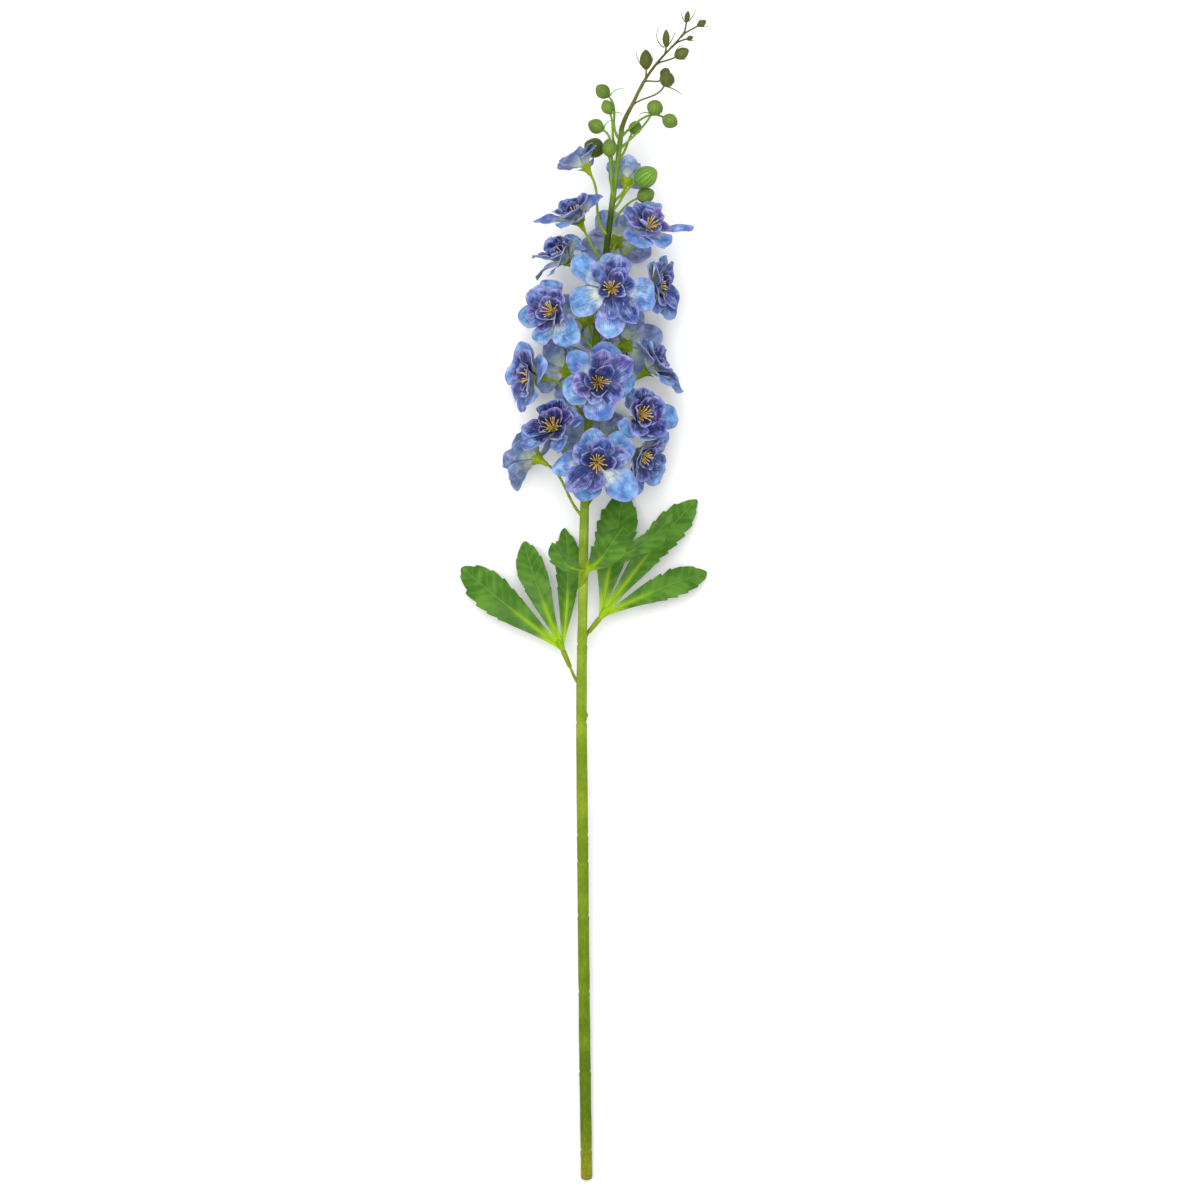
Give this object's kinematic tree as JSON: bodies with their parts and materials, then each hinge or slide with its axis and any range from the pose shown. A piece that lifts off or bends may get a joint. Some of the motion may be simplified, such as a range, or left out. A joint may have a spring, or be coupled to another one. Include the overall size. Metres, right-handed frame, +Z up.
{
  "type": "artificial delphinium flower stem",
  "caption": "Long artificial delphinium stem lying on a table: blue and violet cloth florets, green buds, a tapering tip spray and glossy three-lobed leaves.",
  "frame": {"origin": "centre of the footprint, on the surface that the stem lies on", "axes": "+Y along the stem towards its tip, +X to the right seen from above, +Z up from the surface"},
  "size_m": [0.187, 0.8808, 0.0894],
  "materials": {
    "stem": "satin moulded green plastic, yellower towards the top, with faint lengthwise ridges and pinched rings",
    "stalk": "satin yellow-green moulded plastic; stamens golden",
    "petals": "thin printed cloth, sky blue to violet with pale edges and fine veins, grey-green back",
    "bud": "matt soft green plastic with pale ribs",
    "tip": "matt olive-brown plastic",
    "leaf": "glossy coated leaf cloth, dark green with pale veins, yellow-green base"
  },
  "bodies": {
    "root": {"main_stem": "stem", "tip_spray": "tip", "floret_01_stalk": "stalk", "floret_01_petals": "petals", "floret_02_stalk": "stalk", "floret_02_petals": "petals", "floret_03_stalk": "stalk", "floret_03_petals": "petals", "floret_04_stalk": "stalk", "floret_04_petals": "petals", "floret_05_stalk": "stalk", "floret_05_petals": "petals", "floret_06_stalk": "stalk", "floret_06_petals": "petals", "floret_07_stalk": "stalk", "floret_07_petals": "petals", "floret_08_stalk": "stalk", "floret_08_petals": "petals", "floret_09_stalk": "stalk", "floret_09_petals": "petals", "floret_10_stalk": "stalk", "floret_10_petals": "petals", "floret_11_stalk": "stalk", "floret_11_petals": "petals", "floret_12_stalk": "stalk", "floret_12_petals": "petals", "floret_13_stalk": "stalk", "floret_13_petals": "petals", "floret_14_stalk": "stalk", "floret_14_petals": "petals", "floret_15_stalk": "stalk", "floret_15_petals": "petals", "floret_16_stalk": "stalk", "floret_16_petals": "petals", "floret_17_stalk": "stalk", "floret_17_petals": "petals", "floret_18_stalk": "stalk", "floret_18_petals": "petals", "floret_19_stalk": "stalk", "floret_19_petals": "petals", "floret_20_stalk": "stalk", "floret_20_petals": "petals", "floret_21_stalk": "stalk", "floret_21_petals": "petals", "bud_01": "bud", "bud_02": "bud", "bud_03": "bud", "bud_04": "bud", "bud_05": "bud", "bud_06": "bud", "bud_07": "bud", "bud_08": "bud", "bud_09": "bud", "bud_10": "bud", "leaf_left": "leaf", "leaf_left_petiole": "stem", "leaf_right": "leaf", "leaf_right_petiole": "stem", "leaf_front": "leaf", "leaf_front_petiole": "stem"}
  },
  "joints": []
}
